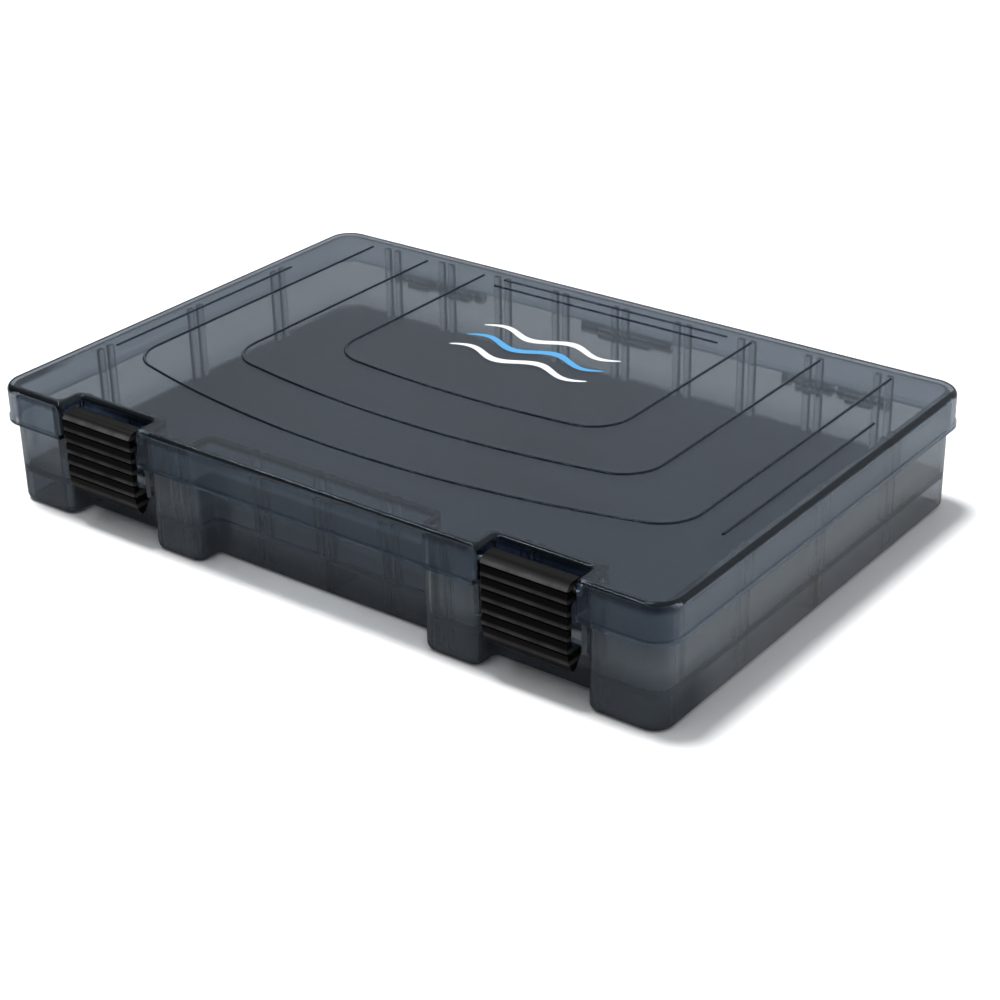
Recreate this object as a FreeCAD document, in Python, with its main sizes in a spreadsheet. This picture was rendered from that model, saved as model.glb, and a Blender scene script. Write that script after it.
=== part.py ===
import FreeCAD, Part
import math
import os
import Sketcher

# Hinged tackle box: a shallow clear tray, a lid that swings on three pins behind it, and two
# hooked latches that hang on pins in notches of the lid.  The origin is the middle of the
# tray's underside, +X runs to the right along the front, +Y to the back, and +Z is up.

doc = FreeCAD.newDocument("TackleBox")

SIZES = [
    ("lid_length", 279.0, "left to right over the lip of the lid"),
    ("lid_width", 189.9, "front to back over the lip of the lid"),
    ("box_height", 44.8, "underside of the tray to the top of the lid"),
    ("corner_radius", 10.3, "corners of the lip, seen from above"),
    ("skirt_height", 13.5, "how far the lid reaches down"),
    ("lid_wall", 1.8, "thickness of the skirt"),
    ("lid_roof", 1.8, "thickness of the lid's top"),
    ("top_round", 2.4, "edge between roof and skirt"),
    ("lip_proud", 0.5, "lip at the foot of the skirt, beyond the skirt"),
    ("lip_height", 1.6, "height of that lip"),
    ("lip_setback", 1.6, "the lip stops this far from a notch"),
    ("lid_gap", 0.7, "clearance between the skirt and the tray"),
    ("rim_gap", 0.3, "clearance between the tray's rim and the roof"),
    ("rim_round", 0.5, "outside edge of the tray's rim"),
    ("tray_wall", 1.8, "thickness of the tray's walls"),
    ("tray_floor", 2.0, "thickness of the tray's floor"),
    ("floor_top", 12.9, "underside of the tray to the top of its floor"),
    ("foot_wall", 3.0, "wall round the hollow below the floor"),
    ("foot_bar", 3.0, "width of the two crossed bars in that hollow"),
    ("foot_round", 2.5, "outside edge at the foot of the walls"),
    ("floor_round", 1.2, "inside edge between floor and walls"),
    ("recess_depth", 9.2, "how far the front recesses go in"),
    ("bulge_width", 21.9, "width of the bulge between the middle recess and a latch bay"),
    ("bulge_round", 4.0, "upright outside edges at the recesses"),
    ("recess_round", 1.0, "upright inside edges at the recesses"),
    ("cells_long", 10, "divider cells, left to right"),
    ("cells_wide", 4, "divider cells, front to back"),
    ("end_cell", 24.7, "an end wall to the middle of the first slot, left to right"),
    ("row_cell", 43.5, "a long wall to the middle of the first slot, front to back"),
    ("rib_width", 2.3, "divider rib, along its wall"),
    ("rib_depth", 2.0, "divider rib, out of its wall"),
    ("slot_width", 2.5, "slot that a divider drops into"),
    ("rib_drop", 1.0, "top of the ribs below the rim"),
    ("rib_rise", 2.5, "foot of the ribs above the underside of the tray"),
    ("latch_inset", 50.3, "middle of a latch from the end of the lid"),
    ("notch_width", 34.6, "notch in the lid for a latch"),
    ("notch_depth", 9.3, "front of the skirt to the back of the notch"),
    ("notch_wall", 1.2, "thickness of the lid around a notch"),
    ("notch_gap", 1.3, "clearance between a notch and the tray"),
    ("notch_round", 2.5, "upright front edges of a notch"),
    ("notch_fillet", 1.0, "upright back corners of a notch"),
    ("latch_width", 31.7, "latch, left to right"),
    ("axis_depth", 3.4, "latch pin behind the front of the skirt"),
    ("axis_drop", 5.4, "latch pin below the top of the lid"),
    ("latch_face", 4.05, "latch pin to the front of the latch"),
    ("roll_top", 3.05, "latch pin to the top of the roll"),
    ("roll_round", 4.4, "radius of the roll's front"),
    ("latch_plate", 2.3, "thickness of the latch's plate"),
    ("roll_back", 3.4, "latch pin to the back of the roll"),
    ("roll_corner", 1.1, "rounded back edge of the roll"),
    ("first_groove", 0.4, "first groove of the face, above the latch pin"),
    ("groove_height", 0.9, "groove between two slats"),
    ("groove_depth", 1.0, "front of a slat to the bottom of a groove"),
    ("slat_pitch", 4.2, "from one groove of the face to the next"),
    ("slat_count", 5, "slats between the roll and the foot of the latch"),
    ("slat_step", 0.5, "how far each slat leans out towards its foot"),
    ("latch_drop", 27.8, "latch pin to the foot of the latch"),
    ("foot_setback", 3.0, "how far the foot of the latch curls in"),
    ("foot_edge", 0.8, "thickness of the foot's edge"),
    ("hook_drop", 21.5, "latch pin to the tip of the hook"),
    ("hook_root_drop", 18.4, "latch pin to the root of the hook's upper face"),
    ("hook_reach", 4.35, "tip of the hook behind the latch pin"),
    ("hook_gap", 0.3, "play between the hook and its ledge"),
    ("hook_bite", 1.7, "how far the hook goes under its ledge"),
    ("ledge_height", 1.85, "thickness of the ledge"),
    ("cheek_width", 1.0, "upright at each end of the ledge"),
    ("cheek_gap", 1.0, "top of an upright below the skirt"),
    ("latch_pin_radius", 1.0, "pin of a latch"),
    ("hinge_pin_radius", 0.9, "pin of a hinge"),
    ("pin_play", 0.05, "radial play of every pin"),
    ("knuckle_radius", 2.4, "outside of a hinge knuckle"),
    ("hinge_gap", 0.35, "knuckle to the back of the tray"),
    ("hinge_drop", 2.9, "hinge axis below the skirt"),
    ("hinge_inset", 50.2, "middle of a side hinge from the end of the lid"),
    ("hinge_length", 42.0, "side hinge, end to end"),
    ("tab_width", 2.6, "knuckle of the lid"),
    ("tray_knuckle", 10.2, "knuckle of the tray"),
    ("knuckle_gap", 0.6, "end play between knuckles"),
    ("tab_spread", 3.4, "space between the two inner knuckles of the lid"),
    ("middle_tab", 7.6, "knuckle of the lid at the middle hinge"),
    ("middle_knuckle", 23.0, "knuckle of the tray at the middle hinge"),
    ("bead_radius", 0.65, "section of the raised lines on the lid"),
    ("bead_sink", 0.15, "centre of that section below the roof's top"),
    ("bead_pitch", 27.87, "from one curved line to the next, both ways"),
    ("bead_side", 24.05, "outermost curved line, from the end of the lid"),
    ("bead_front", 28.0, "front of the outermost curved line, from the front of the lid"),
    ("bead_back", 11.65, "back ends of the curved lines, from the back of the lid"),
    ("bead_bow", 400.0, "radius of their bowed fronts"),
    ("bead_corner", 15.0, "radius of their corners"),
    ("side_bead", 11.8, "straight side line, from the end of the lid"),
    ("side_bead_front", 48.85, "front end of a side line, from the front of the lid"),
    ("side_bead_length", 94.0, "length of a side line"),
    ("back_bead", 11.3, "rear straight line, from the back of the lid"),
    ("back_bead_pitch", 6.7, "from the rear line to the one before it"),
    ("back_bead_length", 98.8, "length of the rear lines"),
]

sheet = doc.addObject("Spreadsheet::Sheet", "Sizes")
for row, (alias, value, note) in enumerate(SIZES, start=1):
    sheet.set("A%d" % row, alias)
    sheet.set("B%d" % row, str(value))
    sheet.setAlias("B%d" % row, alias)
    sheet.set("C%d" % row, note)
doc.recompute()


def named(text):
    """Writes an expression in the sheet's names: each word that is an alias gets its sheet."""
    words = {alias for alias, _, _ in SIZES}
    out = ""
    word = ""
    for letter in text + " ":
        if letter.isalnum() or letter == "_":
            word += letter
            continue
        out += ("Sizes." + word) if word in words else word
        out += letter
        word = ""
    return "(" + out.strip() + ")"


def value_of(expression):
    """The number that an expression has now."""
    result = sheet.evalExpression(expression)
    return float(getattr(result, "Value", result))


# Places that more than one piece shares, written in the sheet's names.
SKIRT_X = named("lid_length / 2 - lip_proud")
SKIRT_Y = named("lid_width / 2 - lip_proud")
LIP_X = named("lid_length / 2")
LIP_Y = named("lid_width / 2")
SKIRT_FOOT = named("box_height - skirt_height")
LIP_TOP = named("box_height - skirt_height + lip_height")
ROOF_TOP = named("box_height")
TRAY_X = named("lid_length / 2 - lip_proud - lid_wall - lid_gap")
TRAY_Y = named("lid_width / 2 - lip_proud - lid_wall - lid_gap")
INNER_X = named("lid_length / 2 - lip_proud - lid_wall - lid_gap - tray_wall")
INNER_Y = named("lid_width / 2 - lip_proud - lid_wall - lid_gap - tray_wall")
RIM = named("box_height - lid_roof - rim_gap")
RECESS_Y = "(" + TRAY_Y + " - " + named("recess_depth") + ")"
NOTCH_Y = "(" + SKIRT_Y + " - " + named("notch_depth") + ")"
LATCH_X = named("lid_length / 2 - latch_inset")
NOTCH_NEAR = "(" + LATCH_X + " - " + named("notch_width / 2") + ")"
NOTCH_FAR = "(" + LATCH_X + " + " + named("notch_width / 2") + ")"
BAY_NEAR = "(" + NOTCH_NEAR + " - " + named("notch_wall + notch_gap") + ")"
BAY_FAR = "(" + NOTCH_FAR + " + " + named("notch_wall + notch_gap") + ")"
MIDDLE_X = "(" + BAY_NEAR + " - " + named("bulge_width") + ")"
LATCH_Y = "(-" + SKIRT_Y + " + " + named("axis_depth") + ")"
LATCH_Z = named("box_height - axis_drop")
HINGE_Y = "(" + TRAY_Y + " + " + named("hinge_gap + knuckle_radius") + ")"
HINGE_Z = named("box_height - skirt_height - hinge_drop")


def add(*terms):
    """Joins expressions with plus signs."""
    return "(" + " + ".join(terms) + ")"


def less(first, second):
    """One expression less another."""
    return "(" + first + " - " + second + ")"


def minus(term):
    """The negative of an expression."""
    return "(-1 * " + term + ")"


def new_sketch(body, name, plane, height="0"):
    """A sketch on one of the body's own origin planes, moved along that plane's normal."""
    sketch = body.newObject("Sketcher::SketchObject", name)
    support = [part for part in body.Origin.OriginFeatures if part.Role == plane][0]
    sketch.AttachmentSupport = (support, [""])
    sketch.MapMode = "FlatFace"
    sketch.setExpression("AttachmentOffset.Base.z", height)
    return sketch


def hold(sketch, kind, geometry, point, expression):
    """Fixes one coordinate of a sketch point to an expression."""
    index = sketch.addConstraint(Sketcher.Constraint(kind, geometry, point, value_of(expression)))
    sketch.setExpression("Constraints[%d]" % index, expression)


def arc_between(start, end, height):
    """The anticlockwise arc from one point to another whose centre is at a height."""
    rise = (end.y - height) ** 2 - (start.y - height) ** 2
    centre = FreeCAD.Vector((end.x ** 2 - start.x ** 2 + rise) / (2 * (end.x - start.x)), height, 0)
    circle = Part.Circle(centre, FreeCAD.Vector(0, 0, 1), start.distanceToPoint(centre))
    angles = [math.atan2(point.y - centre.y, point.x - centre.x) for point in (start, end)]
    return Part.ArcOfCircle(circle, *angles)


def draw_outline(sketch, corners, arcs=None):
    """Draws a closed outline through (x, y) expression pairs.

    The sides are straight, but for those that arcs names: it gives the height of the
    centre of each of those.
    """
    arcs = arcs or {}
    spots = [FreeCAD.Vector(value_of(x), value_of(y), 0) for x, y in corners]
    count = len(corners)
    for index, spot in enumerate(spots):
        following = spots[(index + 1) % count]
        side = Part.LineSegment(spot, following)
        if index in arcs:
            side = arc_between(spot, following, value_of(arcs[index]))
        sketch.addGeometry(side, False)
    for index, (x, y) in enumerate(corners):
        following = (index + 1) % count
        sketch.addConstraint(Sketcher.Constraint("Coincident", index, 2, following, 1))
        hold(sketch, "DistanceX", index, 1, x)
        hold(sketch, "DistanceY", index, 1, y)
    for index, height in arcs.items():
        hold(sketch, "DistanceY", index, 3, height)


def extrude(body, name, sketch, length):
    """Pads a sketch by an expression."""
    pad = body.newObject("PartDesign::Pad", name)
    pad.Profile = (sketch, [""])
    pad.setExpression("Length", length)
    doc.recompute()
    return pad


def round_edges(body, name, radius, choose):
    """Rounds the edges of the body's last feature that a test picks."""
    base = body.Tip
    picked = ["Edge%d" % (index + 1) for index, edge in enumerate(base.Shape.Edges) if choose(edge)]
    fillet = body.newObject("PartDesign::Fillet", name)
    fillet.Base = (base, picked)
    fillet.setExpression("Radius", radius)
    doc.recompute()
    return fillet


TOUCH = 1e-4


def upright_at(edge, places, low=-math.inf, high=math.inf):
    """True for an upright edge that stands at one of the (x, y) places, between two heights."""
    ends = [vertex.Point for vertex in edge.Vertexes]
    if len(ends) != 2 or ends[0].sub(ends[1]).Length - abs(ends[0].z - ends[1].z) > TOUCH:
        return False
    if min(ends[0].z, ends[1].z) < low - TOUCH or max(ends[0].z, ends[1].z) > high + TOUCH:
        return False
    return any(math.hypot(ends[0].x - x, ends[0].y - y) < TOUCH for x, y in places)


def level_at(edge, height):
    """True for an edge that lies flat at a height."""
    box = edge.BoundBox
    return abs(box.ZMin - height) < TOUCH and abs(box.ZMax - height) < TOUCH


def both_sides(places):
    """Places on the right, and the same places on the left."""
    return places + [(-x, y) for x, y in places]


def numbers(places):
    """Expression pairs as numbers."""
    return [(value_of(x), value_of(y)) for x, y in places]


def notched_outline(half_x, half_y, notches):
    """A rectangle whose front is cut by notches, each (near, far, y) on the right half.

    The left half is the right one's mirror image.  A notch that starts at the middle has
    no near side.
    """
    right = []
    for near, far, depth in notches:
        if near is not None:
            right += [(near, minus(half_y)), (near, minus(depth))]
        right += [(far, minus(depth)), (far, minus(half_y))]
    right += [(half_x, minus(half_y)), (half_x, half_y)]
    left = [(minus(x), y) for x, y in reversed(right)]
    return right + left


def box(name, low, high):
    """A block between two corners, each corner three expressions."""
    block = doc.addObject("Part::Box", name)
    for side, axis, start, end in zip(("Length", "Width", "Height"), "xyz", low, high):
        block.setExpression(side, less(end, start))
        block.setExpression("Placement.Base." + axis, start)
    return block


def rod(name, start, end, y, z, radius):
    """A cylinder along X from start to end."""
    bar = doc.addObject("Part::Cylinder", name)
    bar.setExpression("Radius", radius)
    bar.setExpression("Height", less(end, start))
    bar.Placement.Rotation = FreeCAD.Rotation(FreeCAD.Vector(0, 1, 0), 90)
    for axis, place in zip("xyz", (start, y, z)):
        bar.setExpression("Placement.Base." + axis, place)
    return bar


def join(name, shapes):
    """Several solids made one."""
    whole = doc.addObject("Part::MultiFuse", name)
    whole.Shapes = shapes
    whole.Refine = True
    return whole


def cut(name, base, tools):
    """A solid with others taken out of it."""
    taken = tools[0]
    if len(tools) > 1:
        taken = join(name + "_tools", tools)
    result = doc.addObject("Part::Cut", name)
    result.Base = base
    result.Tool = taken
    result.Refine = True
    return result


def within(name, base, limits):
    """The part of a solid that lies inside another."""
    kept = doc.addObject("Part::Common", name)
    kept.Base = base
    kept.Tool = limits
    kept.Refine = True
    return kept


# ---- hinges ------------------------------------------------------------------------------
# Each hinge is a row of knuckles on one pin: the lid's narrow tabs hang from the skirt, and
# the tray's knuckles stand on its back wall.  The side hinges are mirror images.

def mirrored(pairs):
    """Spans on the right, and the same spans on the left."""
    return pairs + [(minus(end), minus(start)) for start, end in pairs]


HINGE_X = named("lid_length / 2 - hinge_inset")
HINGE_NEAR = less(HINGE_X, named("hinge_length / 2"))
HINGE_FAR = add(HINGE_X, named("hinge_length / 2"))
TAB_NEAR = named("tab_spread / 2")
TAB_FAR = named("tab_spread / 2 + tab_width")
INNER_TABS = [
    (less(HINGE_X, TAB_FAR), less(HINGE_X, TAB_NEAR)),
    (add(HINGE_X, TAB_NEAR), add(HINGE_X, TAB_FAR)),
]
OUTER_TABS = [
    (HINGE_NEAR, add(HINGE_NEAR, named("tab_width"))),
    (less(HINGE_FAR, named("tab_width")), HINGE_FAR),
]
MIDDLE_TABS = [(
    named("middle_knuckle / 2 + knuckle_gap"),
    named("middle_knuckle / 2 + knuckle_gap + middle_tab"),
)]
LID_KNUCKLES = mirrored(INNER_TABS + OUTER_TABS + MIDDLE_TABS)
SIDE_KNUCKLES = [
    (
        less(INNER_TABS[0][0], named("knuckle_gap + tray_knuckle")),
        less(INNER_TABS[0][0], named("knuckle_gap")),
    ),
    (
        add(INNER_TABS[1][1], named("knuckle_gap")),
        add(INNER_TABS[1][1], named("knuckle_gap + tray_knuckle")),
    ),
]
TRAY_KNUCKLES = mirrored(SIDE_KNUCKLES)
TRAY_KNUCKLES.append((named("-middle_knuckle / 2"), named("middle_knuckle / 2")))
KNUCKLE = named("knuckle_radius")
HINGE_BORE = named("hinge_pin_radius + pin_play")


def hinge_bore(name):
    """The one long bore that runs through every knuckle of the hinges."""
    return rod(name, minus(HINGE_FAR), HINGE_FAR, HINGE_Y, HINGE_Z, HINGE_BORE)


# ---- tray --------------------------------------------------------------------------------
# A moulded tray with a recess in the middle of its front and a bay for each latch.  Its floor
# stands high between the walls, with two crossed bars in the hollow below it.  Rib pairs on the
# walls make slots for dividers, and a ledge across each bay takes the latch's hook.

def tray_outline(inset):
    """The tray seen from above, its walls moved inwards by an expression."""
    middle = (None, add(MIDDLE_X, inset), less(RECESS_Y, inset))
    bay = (less(BAY_NEAR, inset), add(BAY_FAR, inset), less(RECESS_Y, inset))
    return notched_outline(less(TRAY_X, inset), less(TRAY_Y, inset), [middle, bay])


def tray_edges(inset):
    """The tray's upright edges: its corners, and the outward and inward ones of its front."""
    half_x = less(TRAY_X, inset)
    half_y = less(TRAY_Y, inset)
    recess = less(RECESS_Y, inset)
    ends = [add(MIDDLE_X, inset), less(BAY_NEAR, inset), add(BAY_FAR, inset)]
    corners = both_sides(numbers([(half_x, half_y), (half_x, minus(half_y))]))
    outward = both_sides(numbers([(x, minus(half_y)) for x in ends]))
    inward = both_sides(numbers([(x, minus(recess)) for x in ends]))
    return corners, outward, inward


tray_body = doc.addObject("PartDesign::Body", "TrayShell")
sketch = new_sketch(tray_body, "TrayOutside", "XY_Plane")
draw_outline(sketch, tray_outline("0"))
extrude(tray_body, "TrayBlock", sketch, RIM)
TRAY_CORNER = named("corner_radius - lip_proud - lid_wall - lid_gap")
corners, outward, inward = tray_edges("0")
round_edges(tray_body, "TrayCorners", TRAY_CORNER, lambda edge: upright_at(edge, corners))
round_edges(tray_body, "TrayBulges", named("bulge_round"), lambda edge: upright_at(edge, outward))
round_edges(tray_body, "TrayRecesses", named("recess_round"), lambda edge: upright_at(edge, inward))
round_edges(tray_body, "TrayFoot", named("foot_round"), lambda edge: level_at(edge, 0))
rim_height = value_of(RIM)
round_edges(tray_body, "TrayRim", named("rim_round"), lambda edge: level_at(edge, rim_height))


def tray_space(name, inset, foot, length):
    """The space between the tray's walls, from one height up, with its upright edges rounded."""
    space = doc.addObject("PartDesign::Body", name)
    outline = new_sketch(space, name + "Outline", "XY_Plane", foot)
    draw_outline(outline, tray_outline(inset))
    extrude(space, name + "Block", outline, length)
    inner_corners, inner_bulges, inner_recesses = tray_edges(inset)
    round_edges(space, name + "Corners", less(TRAY_CORNER, inset),
                lambda edge: upright_at(edge, inner_corners))
    round_edges(space, name + "Bulges", less(named("bulge_round"), inset),
                lambda edge: upright_at(edge, inner_bulges))
    round_edges(space, name + "Recesses", add(named("recess_round"), inset),
                lambda edge: upright_at(edge, inner_recesses))
    return space


FLOOR_TOP = named("floor_top")
tray_hollow = tray_space("TrayInside", named("tray_wall"), FLOOR_TOP, RIM)
floor_height = value_of(FLOOR_TOP)
round_edges(tray_hollow, "TrayInsideFloor", named("floor_round"),
            lambda edge: level_at(edge, floor_height))
tray_under = tray_space("TrayUnder", named("foot_wall"), "0", named("floor_top - tray_floor"))

RIB_TOP = less(RIM, named("rib_drop"))
RIB_FOOT = named("rib_rise")
RIB_ROOT = named("tray_wall / 2")
RIB_DEPTH = named("rib_depth")
RIB_STARTS = [named("-slot_width / 2 - rib_width"), named("slot_width / 2")]
RIB_WIDTH = named("rib_width")
FIRST_X = less(INNER_X, named("end_cell"))
FIRST_Y = less(INNER_Y, named("row_cell"))
CELL_X = "(2 * " + FIRST_X + " / " + named("cells_long - 2") + ")"
CELL_Y = "(2 * " + FIRST_Y + " / " + named("cells_wide - 2") + ")"
cells_long = int(value_of(named("cells_long")))
cells_wide = int(value_of(named("cells_wide")))


def front_wall_at(x):
    """The inside of the tray's front wall at a distance from the middle."""
    near_bay = value_of(BAY_NEAR)
    middle = value_of(MIDDLE_X)
    bulge = middle < abs(x) < near_bay
    block = abs(x) > value_of(BAY_FAR)
    return INNER_Y if bulge or block else less(RECESS_Y, named("tray_wall"))


def rib(name, low, high):
    """One divider rib, from near the foot of the wall to just under the rim."""
    return box(name, (low[0], low[1], RIB_FOOT), (high[0], high[1], RIB_TOP))


ribs = []
for number in range(cells_long - 1):
    place = less("(" + CELL_X + " * %d)" % number, FIRST_X)
    for index, offset in enumerate(RIB_STARTS):
        start = add(place, offset)
        end = add(start, RIB_WIDTH)
        front = front_wall_at(value_of(add(start, named("rib_width / 2"))))
        name = "%d_%d" % (number, index)
        ribs.append(rib("BackRib" + name, (start, less(INNER_Y, RIB_DEPTH)),
                        (end, add(INNER_Y, RIB_ROOT))))
        ribs.append(rib("FrontRib" + name, (start, minus(add(front, RIB_ROOT))),
                        (end, minus(less(front, RIB_DEPTH)))))
for number in range(cells_wide - 1):
    place = less("(" + CELL_Y + " * %d)" % number, FIRST_Y)
    for index, offset in enumerate(RIB_STARTS):
        start = add(place, offset)
        end = add(start, RIB_WIDTH)
        name = "%d_%d" % (number, index)
        ribs.append(rib("RightRib" + name, (less(INNER_X, RIB_DEPTH), start),
                        (add(INNER_X, RIB_ROOT), end)))
        ribs.append(rib("LeftRib" + name, (minus(add(INNER_X, RIB_ROOT)), start),
                        (minus(less(INNER_X, RIB_DEPTH)), end)))
tray_parts = [
    cut("TrayShellOpen", tray_body, [tray_hollow, tray_under]),
    within("RibsTrimmed", join("Ribs", ribs), tray_body),
]

BAR = named("foot_bar / 2")
BAR_TOP = named("floor_top - tray_floor / 2")
BAR_ENDS = named("tray_wall")
tray_parts += [
    box("FootBarLong", (minus(less(TRAY_X, BAR_ENDS)), minus(BAR), "0"),
        (less(TRAY_X, BAR_ENDS), BAR, BAR_TOP)),
    box("FootBarShort", (minus(BAR), minus(less(RECESS_Y, BAR_ENDS)), "0"),
        (BAR, less(TRAY_Y, BAR_ENDS), BAR_TOP)),
]

HOOK_RISE = named("(hook_drop - hook_root_drop) / (hook_reach + latch_face - latch_plate)")
LEDGE_FOOT = add(LATCH_Z, named("hook_gap - hook_drop"), HOOK_RISE + " * " + named("hook_bite"))
LEDGE_TOP = add(LEDGE_FOOT, named("ledge_height"))
LEDGE_FRONT = add(LATCH_Y, named("hook_reach - hook_bite"))
BAY_ROOT = minus(less(RECESS_Y, RIB_ROOT))
CHEEK_TOP = less(SKIRT_FOOT, named("cheek_gap"))
for side in ("Right", "Left"):
    near, far = (BAY_NEAR, BAY_FAR) if side == "Right" else (minus(BAY_FAR), minus(BAY_NEAR))
    root = named("tray_wall / 2")
    tray_parts.append(box("Ledge" + side, (less(near, root), LEDGE_FRONT, LEDGE_FOOT),
                          (add(far, root), BAY_ROOT, LEDGE_TOP)))
    cheeks = [(less(near, root), add(near, named("cheek_width"))),
              (less(far, named("cheek_width")), add(far, root))]
    for index, (start, end) in enumerate(cheeks):
        tray_parts.append(box("Cheek%s%d" % (side, index), (start, minus(TRAY_Y), LEDGE_FOOT),
                              (end, BAY_ROOT, CHEEK_TOP)))

for index, (start, end) in enumerate(TRAY_KNUCKLES):
    tray_parts.append(rod("TrayKnuckle%d" % index, start, end, HINGE_Y, HINGE_Z, KNUCKLE))
    tray_parts.append(box("TrayArm%d" % index, (start, less(TRAY_Y, RIB_ROOT), less(HINGE_Z, KNUCKLE)),
                          (end, HINGE_Y, add(HINGE_Z, KNUCKLE))))
base_tray = cut("base_tray", join("TrayWhole", tray_parts), [hinge_bore("TrayBore")])

# ---- lid ---------------------------------------------------------------------------------
# A flat roof with a skirt that closes over the tray, a lip below it all round, a notch at the
# front for each latch, raised lines on top, and the tabs of the hinges behind.

def lid_outline(half_x, half_y, wall):
    """The lid seen from above, its walls moved inwards, with a notch for each latch."""
    notch = (less(NOTCH_NEAR, wall), add(NOTCH_FAR, wall), less(NOTCH_Y, wall))
    return notched_outline(half_x, half_y, [notch])


lid_body = doc.addObject("PartDesign::Body", "LidBlock")
sketch = new_sketch(lid_body, "SkirtOutside", "XY_Plane", LIP_TOP)
draw_outline(sketch, lid_outline(SKIRT_X, SKIRT_Y, "0"))
extrude(lid_body, "LidSkirt", sketch, named("skirt_height - lip_height"))
SKIRT_CORNER = named("corner_radius - lip_proud")
skirt_corners = both_sides(numbers([(SKIRT_X, SKIRT_Y), (SKIRT_X, minus(SKIRT_Y))]))
notch_front = both_sides(numbers([(NOTCH_NEAR, minus(SKIRT_Y)), (NOTCH_FAR, minus(SKIRT_Y))]))
notch_back = both_sides(numbers([(NOTCH_NEAR, minus(NOTCH_Y)), (NOTCH_FAR, minus(NOTCH_Y))]))
round_edges(lid_body, "SkirtCorners", SKIRT_CORNER, lambda edge: upright_at(edge, skirt_corners))
round_edges(lid_body, "NotchFronts", named("notch_round"),
            lambda edge: upright_at(edge, notch_front))
round_edges(lid_body, "NotchBacks", named("notch_fillet"),
            lambda edge: upright_at(edge, notch_back))
roof_height = value_of(ROOF_TOP)
round_edges(lid_body, "RoofEdge", named("top_round"), lambda edge: level_at(edge, roof_height))

lip_body = doc.addObject("PartDesign::Body", "LidLip")
sketch = new_sketch(lip_body, "LipOutside", "XY_Plane", SKIRT_FOOT)
draw_outline(sketch, lid_outline(LIP_X, LIP_Y, named("lip_setback")))
extrude(lip_body, "LipBlock", sketch, named("lip_height"))
lip_corners = both_sides(numbers([(LIP_X, LIP_Y), (LIP_X, minus(LIP_Y))]))
round_edges(lip_body, "LipCorners", named("corner_radius"),
            lambda edge: upright_at(edge, lip_corners))

lid_hollow = doc.addObject("PartDesign::Body", "LidHollow")
sketch = new_sketch(lid_hollow, "LidInside", "XY_Plane", SKIRT_FOOT)
inner_x = less(SKIRT_X, named("lid_wall"))
inner_y = less(SKIRT_Y, named("lid_wall"))
draw_outline(sketch, lid_outline(inner_x, inner_y, named("notch_wall")))
extrude(lid_hollow, "LidHollowBlock", sketch, named("skirt_height - lid_roof"))
inside_corners = both_sides(numbers([(inner_x, inner_y), (inner_x, minus(inner_y))]))
round_edges(lid_hollow, "LidHollowCorners", less(SKIRT_CORNER, named("lid_wall")),
            lambda edge: upright_at(edge, inside_corners))

BEAD_Z = less(ROOF_TOP, named("bead_sink"))
BEAD = named("bead_radius")
BEAD_BACK = named("lid_width / 2 - bead_back")


def bead_end(name, x, y):
    """The round end of a raised line."""
    ball = doc.addObject("Part::Sphere", name)
    ball.setExpression("Radius", BEAD)
    for axis, place in zip("xyz", (x, y, BEAD_Z)):
        ball.setExpression("Placement.Base." + axis, place)
    return ball


def straight_bead(name, x, y, length, turn):
    """A straight raised line from (x, y), turned about Z from the X direction."""
    bar = doc.addObject("Part::Cylinder", name)
    bar.setExpression("Radius", BEAD)
    bar.setExpression("Height", length)
    lying = FreeCAD.Rotation(FreeCAD.Vector(0, 1, 0), 90)
    bar.Placement.Rotation = FreeCAD.Rotation(FreeCAD.Vector(0, 0, 1), turn).multiply(lying)
    for axis, place in zip("xyz", (x, y, BEAD_Z)):
        bar.setExpression("Placement.Base." + axis, place)
    return bar


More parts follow.
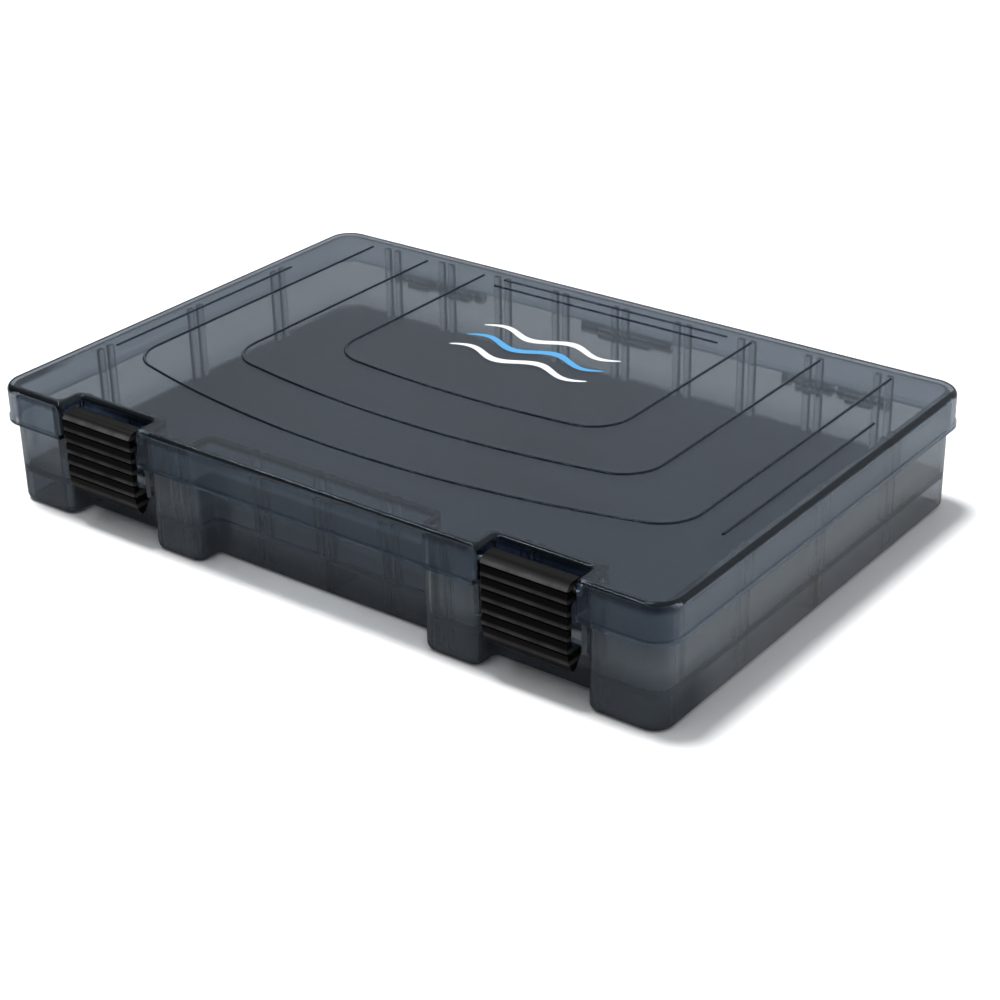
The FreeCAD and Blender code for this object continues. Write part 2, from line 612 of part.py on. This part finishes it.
def curved_bead(name, legs, front):
    """A raised line in a U: two legs from the back, round corners and a bowed front."""
    leg = value_of(legs)
    back = value_of(BEAD_BACK)
    bow = value_of(named("bead_bow"))
    corner = value_of(named("bead_corner"))
    bow_y = bow - value_of(front)
    corner_x = leg - corner
    corner_y = bow_y - math.sqrt((bow - corner) ** 2 - corner_x ** 2)
    lean = math.atan2(corner_x, bow_y - corner_y)
    up = FreeCAD.Vector(0, 0, 1)
    down = -math.pi / 2

    path = doc.addObject("Sketcher::SketchObject", name + "Path")
    path.setExpression("Placement.Base.z", BEAD_Z)
    left = Part.LineSegment(FreeCAD.Vector(-leg, back, 0), FreeCAD.Vector(-leg, corner_y, 0))
    right = Part.LineSegment(FreeCAD.Vector(leg, corner_y, 0), FreeCAD.Vector(leg, back, 0))
    left_circle = Part.Circle(FreeCAD.Vector(-corner_x, corner_y, 0), up, corner)
    right_circle = Part.Circle(FreeCAD.Vector(corner_x, corner_y, 0), up, corner)
    bow_circle = Part.Circle(FreeCAD.Vector(0, bow_y, 0), up, bow)
    path.addGeometry([
        left,
        Part.ArcOfCircle(left_circle, math.pi, 3 * math.pi / 2 - lean),
        Part.ArcOfCircle(bow_circle, down - lean, down + lean),
        Part.ArcOfCircle(right_circle, down + lean, 0),
        right,
    ], False)
    for first, second, ends in ((0, 1, (2, 1)), (1, 2, (2, 1)), (2, 3, (2, 1)), (3, 4, (2, 1))):
        path.addConstraint(Sketcher.Constraint("Tangent", first, ends[0], second, ends[1]))
    hold(path, "DistanceX", 0, 1, minus(legs))
    hold(path, "DistanceY", 0, 1, BEAD_BACK)
    hold(path, "DistanceX", 4, 2, legs)
    hold(path, "DistanceY", 4, 2, BEAD_BACK)
    hold(path, "DistanceX", 2, 3, "0")
    hold(path, "DistanceY", 2, 3, less(named("bead_bow"), front))
    for geometry, radius in ((1, "bead_corner"), (2, "bead_bow"), (3, "bead_corner")):
        index = path.addConstraint(Sketcher.Constraint("Radius", geometry, value_of(named(radius))))
        path.setExpression("Constraints[%d]" % index, named(radius))
    for leg_line in (0, 4):
        path.addConstraint(Sketcher.Constraint("Vertical", leg_line))

    ring = doc.addObject("Part::Circle", name + "Section")
    ring.setExpression("Radius", BEAD)
    ring.Placement.Rotation = FreeCAD.Rotation(FreeCAD.Vector(1, 0, 0), 90)
    for axis, place in zip("xyz", (minus(legs), BEAD_BACK, BEAD_Z)):
        ring.setExpression("Placement.Base." + axis, place)
    doc.recompute()
    bead = doc.addObject("Part::Sweep", name)
    bead.Sections = [ring]
    bead.Spine = (path, ["Edge%d" % number for number in range(1, 6)])
    bead.Solid = True
    bead.Frenet = True
    return bead


lid_parts = [cut("LidShellOpen", join("LidShell", [lid_body, lip_body]), [lid_hollow])]
for number in range(3):
    step = "(" + named("bead_pitch") + " * %d)" % number
    legs = less(named("lid_length / 2 - bead_side"), step)
    front = less(named("lid_width / 2 - bead_front"), step)
    lid_parts.append(curved_bead("CurvedBead%d" % number, legs, front))
    for side, x in (("Left", minus(legs)), ("Right", legs)):
        lid_parts.append(bead_end("CurvedEnd%s%d" % (side, number), x, BEAD_BACK))
SIDE_BEAD_X = named("lid_length / 2 - side_bead")
for side, x in (("Left", minus(SIDE_BEAD_X)), ("Right", SIDE_BEAD_X)):
    start = named("side_bead_front - lid_width / 2")
    lid_parts.append(straight_bead("SideBead" + side, x, start, named("side_bead_length"), 90))
    for index, y in enumerate((start, add(start, named("side_bead_length")))):
        lid_parts.append(bead_end("SideEnd%s%d" % (side, index), x, y))
for number in range(2):
    y = less(named("lid_width / 2 - back_bead"), "(" + named("back_bead_pitch") + " * %d)" % number)
    start = named("-back_bead_length / 2")
    lid_parts.append(straight_bead("BackBead%d" % number, start, y, named("back_bead_length"), 0))
    for index, x in enumerate((start, named("back_bead_length / 2"))):
        lid_parts.append(bead_end("BackEnd%d_%d" % (number, index), x, y))

SKIRT_INNER = less(SKIRT_Y, named("lid_wall"))
for index, (start, end) in enumerate(LID_KNUCKLES):
    lid_parts.append(rod("LidKnuckle%d" % index, start, end, HINGE_Y, HINGE_Z, KNUCKLE))
    lid_parts.append(box("LidArm%d" % index, (start, SKIRT_INNER, HINGE_Z),
                         (end, LIP_Y, add(SKIRT_FOOT, named("lip_height / 2")))))

LATCH_BORE = named("latch_pin_radius + pin_play")
lid_cuts = [hinge_bore("LidBore")]
PIN_NEAR = less(NOTCH_NEAR, named("notch_wall"))
PIN_FAR = add(NOTCH_FAR, named("notch_wall"))
LATCH_SPANS = {"right": (PIN_NEAR, PIN_FAR), "left": (minus(PIN_FAR), minus(PIN_NEAR))}
for side, (start, end) in LATCH_SPANS.items():
    lid_cuts.append(rod("NotchBore_" + side, start, end, LATCH_Y, LATCH_Z, LATCH_BORE))
lid = cut("lid", join("LidWhole", lid_parts), lid_cuts)

# ---- latches -----------------------------------------------------------------------------
# A latch is a plate with a roll at its top, where the pin goes through, a face of slats with
# grooves between them that curls in at its foot, and a hook behind that catches under the
# tray's ledge.

def latch_profile(sketch):
    """Draws the latch from the side, in (y, z), from the back of the roll's top."""
    def at(y, z):
        return add(LATCH_Y, named(y)), add(LATCH_Z, named(z))

    points = [at("roll_back - roll_corner", "roll_top"), at("0", "roll_top")]
    roll_side = 1
    slats = int(value_of(named("slat_count")))
    for number in range(slats + 1):
        groove_top = "first_groove - slat_pitch * %d + groove_height / 2" % number
        groove_foot = "first_groove - slat_pitch * %d - groove_height / 2" % number
        points.append(at("-latch_face", groove_top))
        points.append(at("groove_depth - latch_face", groove_top))
        points.append(at("groove_depth - latch_face", groove_foot))
        points.append(at("slat_step - latch_face", groove_foot))
    foot_side = len(points) - 1
    points.append(at("foot_setback - latch_face", "-latch_drop"))
    points.append(at("foot_setback - latch_face + foot_edge", "-latch_drop"))
    points.append(at("hook_reach", "-hook_drop"))
    points.append(at("latch_plate - latch_face", "-hook_root_drop"))
    points.append(at("latch_plate - latch_face", "-slat_pitch - slat_step"))
    points.append(at("roll_back", "-latch_pin_radius - pin_play - slat_step"))
    back_side = len(points)
    points.append(at("roll_back", "roll_top - roll_corner"))
    draw_outline(sketch, points, {
        roll_side: at("0", "roll_top - roll_round")[1],
        foot_side: points[foot_side][1],
        back_side: points[back_side][1],
    })


def latch(side, centre):
    """One latch, its middle at an expression along X."""
    body = doc.addObject("PartDesign::Body", "LatchBody_" + side)
    start = less(centre, named("latch_width / 2"))
    sketch = new_sketch(body, "LatchSide_" + side, "YZ_Plane", start)
    latch_profile(sketch)
    extrude(body, "LatchPlate_" + side, sketch, named("latch_width"))
    bore = rod("LatchBore_" + side, start, add(start, named("latch_width")), LATCH_Y, LATCH_Z, LATCH_BORE)
    return cut("latch_" + side, body, [bore])


latches = [latch("right", LATCH_X), latch("left", minus(LATCH_X))]

# ---- pins --------------------------------------------------------------------------------
# Plain steel pins.  The hinge pins pass through the knuckles, and the latch pins through the
# rolls of the latches into the sides of the notches.

pins = []
for side, (start, end) in LATCH_SPANS.items():
    pins.append(rod("latch_pin_" + side, start, end, LATCH_Y, LATCH_Z, named("latch_pin_radius")))
MIDDLE_END = MIDDLE_TABS[0][1]
HINGE_SPANS = {
    "right": (HINGE_NEAR, HINGE_FAR),
    "middle": (minus(MIDDLE_END), MIDDLE_END),
    "left": (minus(HINGE_FAR), minus(HINGE_NEAR)),
}
for side, (start, end) in HINGE_SPANS.items():
    pins.append(rod("hinge_pin_" + side, start, end, HINGE_Y, HINGE_Z, named("hinge_pin_radius")))

# ---- check and export --------------------------------------------------------------------

doc.recompute()
for item in doc.Objects:
    if "Invalid" in item.State or "Error" in item.State:
        raise RuntimeError("%s failed: %s" % (item.Label, item.State))

os.makedirs("parts", exist_ok=True)
for item in [base_tray, lid] + latches + pins:
    if item.Shape.isNull() or not item.Shape.isValid():
        raise RuntimeError("%s has no valid shape" % item.Label)
    if len(item.Shape.Solids) != 1:
        raise RuntimeError("%s is %d solids" % (item.Label, len(item.Shape.Solids)))
    item.Shape.exportStep(os.path.join("parts", item.Label + ".step"))
    print("%s %.1f mm3" % (item.Label, item.Shape.Volume))
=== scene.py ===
import math

import bmesh
import bpy
from mathutils import Matrix, Vector


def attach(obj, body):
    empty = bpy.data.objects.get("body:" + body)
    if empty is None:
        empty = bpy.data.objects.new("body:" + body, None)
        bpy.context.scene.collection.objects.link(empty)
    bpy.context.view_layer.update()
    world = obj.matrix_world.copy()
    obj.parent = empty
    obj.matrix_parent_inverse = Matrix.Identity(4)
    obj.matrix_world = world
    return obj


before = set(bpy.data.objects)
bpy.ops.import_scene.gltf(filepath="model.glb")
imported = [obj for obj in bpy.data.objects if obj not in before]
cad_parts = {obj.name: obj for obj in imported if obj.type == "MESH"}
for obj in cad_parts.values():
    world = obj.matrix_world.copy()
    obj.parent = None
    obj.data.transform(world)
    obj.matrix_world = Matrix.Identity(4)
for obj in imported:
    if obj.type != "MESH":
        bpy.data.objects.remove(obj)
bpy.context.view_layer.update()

# ---- camera ------------------------------------------------------------------------------
# A long lens beyond the right-hand front corner, looking down on the lid.
camera_place = Vector((0.421166, -0.542234, 0.350676))
camera_right = Vector((0.801786, 0.597335, -0.018158))
camera_up = Vector((-0.259151, 0.374909, 0.890103))
camera_data = bpy.data.cameras.new("camera")
camera_data.lens = 78.352583
camera_data.sensor_width = 36.0
camera = bpy.data.objects.new("camera", camera_data)
turn = Matrix((camera_right, camera_up, camera_right.cross(camera_up))).transposed().to_4x4()
camera.matrix_world = Matrix.Translation(camera_place) @ turn
bpy.context.collection.objects.link(camera)
bpy.context.scene.camera = camera
bpy.context.scene.view_settings.view_transform = "Standard"

# ---- studio ------------------------------------------------------------------------------
# A white table, a soft-edged key light high on the left that leaves no glint of its own, a
# narrow softbox for the gleam along the edges, and dim light from all round.  The table is
# white to the camera and bounces less than that, least of all in front of the box.
bpy.ops.mesh.primitive_plane_add(size=12.0, location=(0, 0, 0))
floor = bpy.context.object
floor.name = "floor"
floor_material = bpy.data.materials.new("floor")
floor_material.use_nodes = True
tree = floor_material.node_tree
shader = tree.nodes["Principled BSDF"]
shader.inputs["Roughness"].default_value = 0.9
shader.inputs["Specular IOR Level"].default_value = 0.0
seen = tree.nodes.new("ShaderNodeLightPath")
spot = tree.nodes.new("ShaderNodeTexCoord")
across = tree.nodes.new("ShaderNodeSeparateXYZ")
bounce = tree.nodes.new("ShaderNodeMapRange")
bounce.inputs["From Min"].default_value = -0.14
bounce.inputs["From Max"].default_value = -0.05
bounce.inputs["To Min"].default_value = 0.14
bounce.inputs["To Max"].default_value = 0.37
paper = tree.nodes.new("ShaderNodeMix")
paper.data_type = "RGBA"
paper.inputs["B"].default_value = (0.9, 0.9, 0.9, 1)
for source, target in (
    (spot.outputs["Object"], across.inputs["Vector"]),
    (across.outputs["Y"], bounce.inputs["Value"]),
    (bounce.outputs["Result"], paper.inputs["A"]),
    (seen.outputs["Is Camera Ray"], paper.inputs["Factor"]),
    (paper.outputs["Result"], shader.inputs["Base Color"]),
):
    tree.links.new(source, target)
floor.data.materials.append(floor_material)

world = bpy.data.worlds.new("studio")
world.use_nodes = True
tree = world.node_tree
background = tree.nodes["Background"]
background.inputs["Color"].default_value = (0.96, 0.98, 1, 1)
direction = tree.nodes.new("ShaderNodeTexCoord")
lean = tree.nodes.new("ShaderNodeVectorMath")
lean.operation = "DOT_PRODUCT"
lean.inputs[1].default_value = (0.40, 0.46, 0.79)
fade = tree.nodes.new("ShaderNodeMapRange")
fade.inputs["From Min"].default_value = -0.28
fade.inputs["To Min"].default_value = 0.05
fade.inputs["To Max"].default_value = 0.70
for source, target in (
    (direction.outputs["Generated"], lean.inputs[0]),
    (lean.outputs["Value"], fade.inputs["Value"]),
    (fade.outputs["Result"], background.inputs["Strength"]),
):
    tree.links.new(source, target)
bpy.context.scene.world = world

key_data = bpy.data.lights.new("key", "SUN")
key_data.energy = 3.3
key_data.angle = math.radians(13)
key = bpy.data.objects.new("key", key_data)
key.visible_glossy = False
key.rotation_euler = Vector((0.23, 0.02, -1.0)).to_track_quat("-Z", "Y").to_euler()
bpy.context.collection.objects.link(key)

softbox_data = bpy.data.lights.new("softbox", "AREA")
softbox_data.shape = "RECTANGLE"
softbox_data.size = 1.4
softbox_data.size_y = 0.12
softbox_data.energy = 2.8
softbox = bpy.data.objects.new("softbox", softbox_data)
softbox.location = (-0.38, -0.34, 0.95)
softbox.rotation_euler = (-softbox.location).to_track_quat("-Z", "Y").to_euler()
bpy.context.collection.objects.link(softbox)

# ---- moulded surface ---------------------------------------------------------------------
# The skin that the tray's and the lid's clear plastic share: faint waves from the mould's
# flow, a fine orange peel, and rubbed streaks that are a little duller.


def feed(tree, socket, value):
    """Link the socket to another node's output, or set it to a plain value."""
    if isinstance(value, bpy.types.NodeSocket):
        tree.links.new(value, socket)
    else:
        socket.default_value = value


def noise(tree, place, scale, detail):
    """Noise over a place, from 0 to 1."""
    node = tree.nodes.new("ShaderNodeTexNoise")
    feed(tree, node.inputs["Vector"], place)
    feed(tree, node.inputs["Scale"], scale)
    feed(tree, node.inputs["Detail"], detail)
    return node.outputs["Fac"]


def stretch(tree, place, scale, turn=(0, 0, 0)):
    """A place turned and scaled, so that noise over it runs along one way."""
    node = tree.nodes.new("ShaderNodeMapping")
    feed(tree, node.inputs["Vector"], place)
    feed(tree, node.inputs["Rotation"], turn)
    feed(tree, node.inputs["Scale"], scale)
    return node.outputs["Vector"]


def ramp(tree, value, start, end, low=0.0, high=1.0, smooth=False):
    """A value carried from start..end to low..high, and held level beyond."""
    node = tree.nodes.new("ShaderNodeMapRange")
    if smooth:
        node.interpolation_type = "SMOOTHSTEP"
    feed(tree, node.inputs["Value"], value)
    feed(tree, node.inputs["From Min"], start)
    feed(tree, node.inputs["From Max"], end)
    feed(tree, node.inputs["To Min"], low)
    feed(tree, node.inputs["To Max"], high)
    return node.outputs["Result"]


def combine(tree, operation, *terms, clamp=False):
    """The terms put through one operation."""
    node = tree.nodes.new("ShaderNodeMath")
    node.operation = operation
    node.use_clamp = clamp
    for number, term in enumerate(terms):
        feed(tree, node.inputs[number], term)
    return node.outputs[0]


def relief(tree, height, strength, distance):
    """The normal of a surface roughened by a height."""
    node = tree.nodes.new("ShaderNodeBump")
    feed(tree, node.inputs["Height"], height)
    feed(tree, node.inputs["Strength"], strength)
    feed(tree, node.inputs["Distance"], distance)
    return node.outputs["Normal"]


skin = bpy.data.node_groups.new("moulded_skin", "ShaderNodeTree")
skin.interface.new_socket("Gloss", in_out="INPUT", socket_type="NodeSocketFloat")
skin.interface.new_socket("Roughness", in_out="OUTPUT", socket_type="NodeSocketFloat")
skin.interface.new_socket("Normal", in_out="OUTPUT", socket_type="NodeSocketVector")
skin_in = skin.nodes.new("NodeGroupInput")
skin_out = skin.nodes.new("NodeGroupOutput")
place = skin.nodes.new("ShaderNodeTexCoord").outputs["Object"]
flow = noise(skin, place, scale=28.0, detail=2.0)
peel = noise(skin, place, scale=650.0, detail=3.0)
peel_share = 0.012
streaks = noise(skin, stretch(skin, place, (900, 22, 900), turn=(0, 0, 0.5)), 1.0, 4.0)
wear_and_highlight = ramp(skin, streaks, 0.6, 0.78)
rubbed_duller = 0.035
height = combine(skin, "MULTIPLY_ADD", peel, peel_share, flow)
feed(skin, skin_out.inputs["Normal"], relief(skin, height, strength=0.10, distance=0.0012))
feed(skin, skin_out.inputs["Roughness"],
     combine(skin, "MULTIPLY_ADD", wear_and_highlight, rubbed_duller, skin_in.outputs["Gloss"]))


def clear_plastic(name, clearness, tint, density):
    """Tinted clear styrene with that skin.  Its base colour and its gloss are left open."""
    plastic = bpy.data.materials.new(name)
    plastic.use_nodes = True
    tree = plastic.node_tree
    shader = tree.nodes["Principled BSDF"]
    shader.inputs["Transmission Weight"].default_value = clearness
    shader.inputs["IOR"].default_value = 1.46
    shader.inputs["Specular Tint"].default_value = (0.66, 0.82, 1, 1)
    surface = tree.nodes.new("ShaderNodeGroup")
    surface.node_tree = skin
    feed(tree, shader.inputs["Roughness"], surface.outputs["Roughness"])
    feed(tree, shader.inputs["Normal"], surface.outputs["Normal"])
    absorb = tree.nodes.new("ShaderNodeVolumeAbsorption")
    absorb.inputs["Color"].default_value = tint
    absorb.inputs["Density"].default_value = density
    feed(tree, tree.nodes["Material Output"].inputs["Volume"], absorb.outputs["Volume"])
    return plastic, shader.inputs["Base Color"], surface.inputs["Gloss"]


# ---- tray --------------------------------------------------------------------------------
# The real tray is one injection moulding in clear styrene, tinted smoke blue.  Its floor is
# frosted by the mould, and painted darker as shade, so that less light comes back up through
# it.


def blend(tree, share, first, second):
    """A colour between two others."""
    node = tree.nodes.new("ShaderNodeMix")
    node.data_type = "RGBA"
    feed(tree, node.inputs["Factor"], share)
    feed(tree, node.inputs["A"], first)
    feed(tree, node.inputs["B"], second)
    return node.outputs["Result"]


def axes(tree, vector):
    """The three parts of a vector."""
    node = tree.nodes.new("ShaderNodeSeparateXYZ")
    feed(tree, node.inputs["Vector"], vector)
    return node.outputs["X"], node.outputs["Y"], node.outputs["Z"]


tray_plastic, tray_colour, tray_gloss = clear_plastic(
    "tray_smoke_plastic", clearness=0.87, tint=(0.53, 0.60, 0.66, 1), density=320.0)
tree = tray_plastic.node_tree
coords = tree.nodes.new("ShaderNodeTexCoord")
x, y, z = axes(tree, coords.outputs["Object"])
facing_x, _, facing_z = axes(tree, coords.outputs["Normal"])

# The floor: faces that lie level between its underside and its top.
floor_foot = 0.0109
floor_top = 0.0129
floor_margin = 0.0006
level = ramp(tree, combine(tree, "ABSOLUTE", facing_z), 0.2, 0.8)
near_floor = combine(tree, "COMPARE", z, (floor_foot + floor_top) / 2,
                     (floor_top - floor_foot) / 2 + floor_margin)
on_floor = combine(tree, "MULTIPLY", level, near_floor)
feed(tree, tray_gloss, ramp(tree, on_floor, 0.0, 1.0, low=0.13, high=0.50))

# The fronts, their rim, and the low part of the walls, which get painted shade, deepest at
# the fronts.
front_starts = -0.060
front_full = -0.075
rim_starts = 0.0400
rim_full = 0.0416
low_starts = 0.022
low_at_sides = 0.55
at_front = ramp(tree, y, front_starts, front_full)
on_rim = combine(tree, "MULTIPLY", ramp(tree, z, rim_starts, rim_full), at_front)
low = ramp(tree, z, low_starts, floor_top, smooth=True)
above_floor = combine(tree, "GREATER_THAN", z, floor_top - floor_margin)
low_reach = combine(tree, "MAXIMUM", above_floor, at_front)
low_part = combine(tree, "MULTIPLY", low, low_reach)
low_share = combine(tree, "MULTIPLY", low_part,
                    ramp(tree, at_front, 0.0, 1.0, low=low_at_sides))

# Painted shade on the set-back front walls and the cheeks beside them, where the skirt
# leaves them open.
set_back_wall = -0.0818
set_back_margin = 0.0016
bays_end = 0.115
skirt_foot = 0.0313
skirt_margin = 0.0004
set_back_share = 0.75
set_back = combine(tree, "COMPARE", y, set_back_wall, set_back_margin)
sideways = ramp(tree, combine(tree, "ABSOLUTE", facing_x), 0.75, 0.95)
in_bays = combine(tree, "LESS_THAN", combine(tree, "ABSOLUTE", x), bays_end)
cheek = combine(tree, "MULTIPLY", combine(tree, "MULTIPLY", sideways, at_front), in_bays)
below_skirt = combine(tree, "LESS_THAN", z, skirt_foot)
deep = combine(tree, "MULTIPLY", combine(tree, "MAXIMUM", cheek, set_back), below_skirt)
shade = combine(tree, "MULTIPLY_ADD", deep, set_back_share, low_share, clamp=True)

# The colour: open walls, painted light behind the skirt and on the foot, then painted shade
# on the floor, on the low and set-back walls, and on the rim.
foot_margin = 0.0008
behind_skirt = ramp(tree, z, skirt_foot - skirt_margin, skirt_foot + skirt_margin)
below_floor = combine(tree, "LESS_THAN", z, floor_foot + foot_margin)
# Painted light: the walls behind the skirt are painted lighter and bluer than the open
# walls.
tone = blend(tree, behind_skirt, (0.80, 0.83, 0.84, 1), (0.88, 0.95, 1, 1))
# Painted light: the walls below the floor are painted lighter.
tone = blend(tree, below_floor, tone, (1, 1, 1, 1))
# Painted shade: the floor is painted dark, as the shade under the box.
tone = blend(tree, on_floor, tone, (0.28, 0.29, 0.34, 1))
# Painted shade on the low and set-back walls and on the cheeks.
tone = blend(tree, shade, tone, (0.44, 0.47, 0.51, 1))
# Painted shade: the rim of the fronts is painted nearly black.
tone = blend(tree, on_rim, tone, (0.06, 0.07, 0.09, 1))
feed(tree, tray_colour, tone)
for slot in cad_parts["base_tray"].material_slots:
    slot.material = tray_plastic

# ---- lid ---------------------------------------------------------------------------------
# The real lid is a second moulding in the same plastic, with raised lines on its top that
# read as dark strokes; they are painted dark navy as shade.
lid_plastic, lid_colour, lid_gloss = clear_plastic(
    "lid_smoke_plastic", clearness=1.0, tint=(0.53, 0.59, 0.67, 1), density=320.0)
tree = lid_plastic.node_tree
x, y, z = axes(tree, tree.nodes.new("ShaderNodeTexCoord").outputs["Object"])

# From the skirt to the roof, and the raised lines just above the roof.
roof_top = 0.0448
roof_edge = (roof_top - 0.0050, roof_top - 0.0030)
line_edge = (roof_top + 0.00003, roof_top + 0.00010)
on_roof = ramp(tree, z, *roof_edge)
on_line = ramp(tree, z, *line_edge)
feed(tree, lid_gloss, ramp(tree, z, *roof_edge, low=0.13, high=0.05))

# The lip at the skirt's foot, painted darker as shade.
lip_foot = 0.0313
lip_edge = (lip_foot + 0.0010, lip_foot + 0.0004)
on_lip = ramp(tree, z, *lip_edge)

# Painted shade on the walls of the two latch notches, below the roof's top.
notch_middle = 0.0892
notch_half = 0.0187
notch_back = -0.0838
notch_top = roof_top - 0.0002
beside = combine(tree, "COMPARE", combine(tree, "ABSOLUTE", x), notch_middle, notch_half)
ahead = combine(tree, "LESS_THAN", y, notch_back)
below = combine(tree, "LESS_THAN", z, notch_top)
notch_shade = combine(tree, "MULTIPLY", combine(tree, "MULTIPLY", beside, ahead), below)

# Painted shade: the lip is painted darker than the skirt.
tone = blend(tree, on_lip, (1, 1, 1, 1), (0.42, 0.48, 0.55, 1))
tone = blend(tree, on_roof, tone, (0.82, 0.84, 0.86, 1))
# Painted shade in the latch notches.
tone = blend(tree, notch_shade, tone, (0.30, 0.35, 0.45, 1))
# Painted shade: the raised lines are painted dark navy.
tone = blend(tree, on_line, tone, (0.19, 0.31, 0.50, 1))
feed(tree, lid_colour, tone)
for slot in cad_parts["lid"].material_slots:
    slot.material = lid_plastic

# ---- print -------------------------------------------------------------------------------
# The real lid is pad-printed here.  The print is three wavy strokes of plain ink, white and
# blue, in a film so thin that the plastic shows through in specks.
print_middle = (0.0006, 0.0333)
print_length = 0.060
print_width = 0.0034
print_tip = 0.12
print_swing = 0.0026
print_waves = 2
print_pitch = 0.0105
print_foot = 0.04481
print_top = 0.04485
print_steps = 96
ink_white = (0.74, 0.76, 0.77, 1)
ink_blue = (0.07, 0.31, 0.60, 1)
for name, row, ink_tone in (
    ("print_wave_back", 1, ink_white),
    ("print_wave_middle", 0, ink_blue),
    ("print_wave_front", -1, ink_white),
):
    shape = bmesh.new()
    rings = []
    for step in range(print_steps + 1):
        share = step / print_steps
        swing = print_swing * math.sin(math.tau * print_waves * share)
        x = print_middle[0] + (share - 0.5) * print_length
        y = print_middle[1] + row * print_pitch + swing
        fullness = print_tip + (1 - print_tip) * math.sin(math.pi * share) ** 0.5
        half = print_width / 2 * fullness
        rings.append([shape.verts.new(corner) for corner in (
            (x, y - half, print_foot), (x, y + half, print_foot),
            (x, y + half, print_top), (x, y - half, print_top),
        )])
    for first, second in zip(rings, rings[1:]):
        for side in range(4):
            after = (side + 1) % 4
            shape.faces.new((first[side], first[after], second[after], second[side]))
    shape.faces.new(rings[0])
    shape.faces.new(rings[-1])
    bmesh.ops.recalc_face_normals(shape, faces=shape.faces)
    mesh = bpy.data.meshes.new(name)
    shape.to_mesh(mesh)
    shape.free()
    wave = bpy.data.objects.new(name, mesh)
    bpy.context.collection.objects.link(wave)

    ink = bpy.data.materials.new(name + "_ink")
    ink.use_nodes = True
    tree = ink.node_tree
    shader = tree.nodes["Principled BSDF"]
    place = tree.nodes.new("ShaderNodeTexCoord").outputs["Object"]
    film = noise(tree, place, scale=900.0, detail=3.0)
    specks = ramp(tree, film, 0.62, 0.80, high=0.5)
    feed(tree, shader.inputs["Base Color"],
         blend(tree, specks, ink_tone, (0.20, 0.22, 0.25, 1)))
    feed(tree, shader.inputs["Roughness"], ramp(tree, film, 0.0, 1.0, low=0.32, high=0.48))
    mesh.materials.append(ink)
    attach(wave, "lid")

# ---- latches -----------------------------------------------------------------------------
# The real latches are black polypropylene with a satin skin, moulded in one piece each.  The
# lower lip of every slat is painted grey as a highlight, broken up by noise.
latch_plastic = bpy.data.materials.new("latch_black_plastic")
latch_plastic.use_nodes = True
tree = latch_plastic.node_tree
shader = tree.nodes["Principled BSDF"]
shader.inputs["Roughness"].default_value = 0.32
shader.inputs["Specular IOR Level"].default_value = 0.11
place = tree.nodes.new("ShaderNodeTexCoord").outputs["Object"]
grain = noise(tree, place, scale=1500.0, detail=3.0)
dust = noise(tree, place, scale=140.0, detail=4.0)
tone = blend(tree, dust, (0.002, 0.002, 0.0023, 1), (0.006, 0.0059, 0.0057, 1))
groove_foot = 0.0398
slat_pitch = 0.0042
slats_lifted = 20  # keeps the count of slats above zero
_, _, z = axes(tree, place)
slats_up = combine(tree, "MULTIPLY_ADD", z, 1 / slat_pitch,
                   slats_lifted - groove_foot / slat_pitch)
along_slat = combine(tree, "FRACT", slats_up)
# Painted highlight on the lower lip of every slat, broken up by the dust noise.
lip = ramp(tree, along_slat, 0.50, 0.24, smooth=True)
wear_and_highlight = combine(tree, "MULTIPLY", lip, dust)
feed(tree, shader.inputs["Base Color"], blend(tree, wear_and_highlight, tone, (0.12, 0.12, 0.12, 1)))
feed(tree, shader.inputs["Normal"], relief(tree, grain, strength=0.25, distance=0.0001))
for node in ("latch_left", "latch_right"):
    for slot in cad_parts[node].material_slots:
        slot.material = latch_plastic

# ---- pins --------------------------------------------------------------------------------
# The real pins are lengths of drawn steel wire, cut square and pushed in from one end.  The
# die leaves fine lines along them.
wire = bpy.data.materials.new("pin_drawn_steel")
wire.use_nodes = True
tree = wire.node_tree
shader = tree.nodes["Principled BSDF"]
shader.inputs["Metallic"].default_value = 1.0
place = tree.nodes.new("ShaderNodeTexCoord").outputs["Object"]
drawn = noise(tree, stretch(tree, place, (40, 3000, 3000)), scale=1.0, detail=3.0)
feed(tree, shader.inputs["Base Color"],
     blend(tree, drawn, (0.36, 0.36, 0.37, 1), (0.62, 0.62, 0.62, 1)))
feed(tree, shader.inputs["Roughness"], ramp(tree, drawn, 0.0, 1.0, low=0.22, high=0.42))
feed(tree, shader.inputs["Normal"], relief(tree, drawn, strength=0.3, distance=0.00005))
for node in ("latch_pin_left", "latch_pin_right",
             "hinge_pin_left", "hinge_pin_middle", "hinge_pin_right"):
    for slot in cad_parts[node].material_slots:
        slot.material = wire
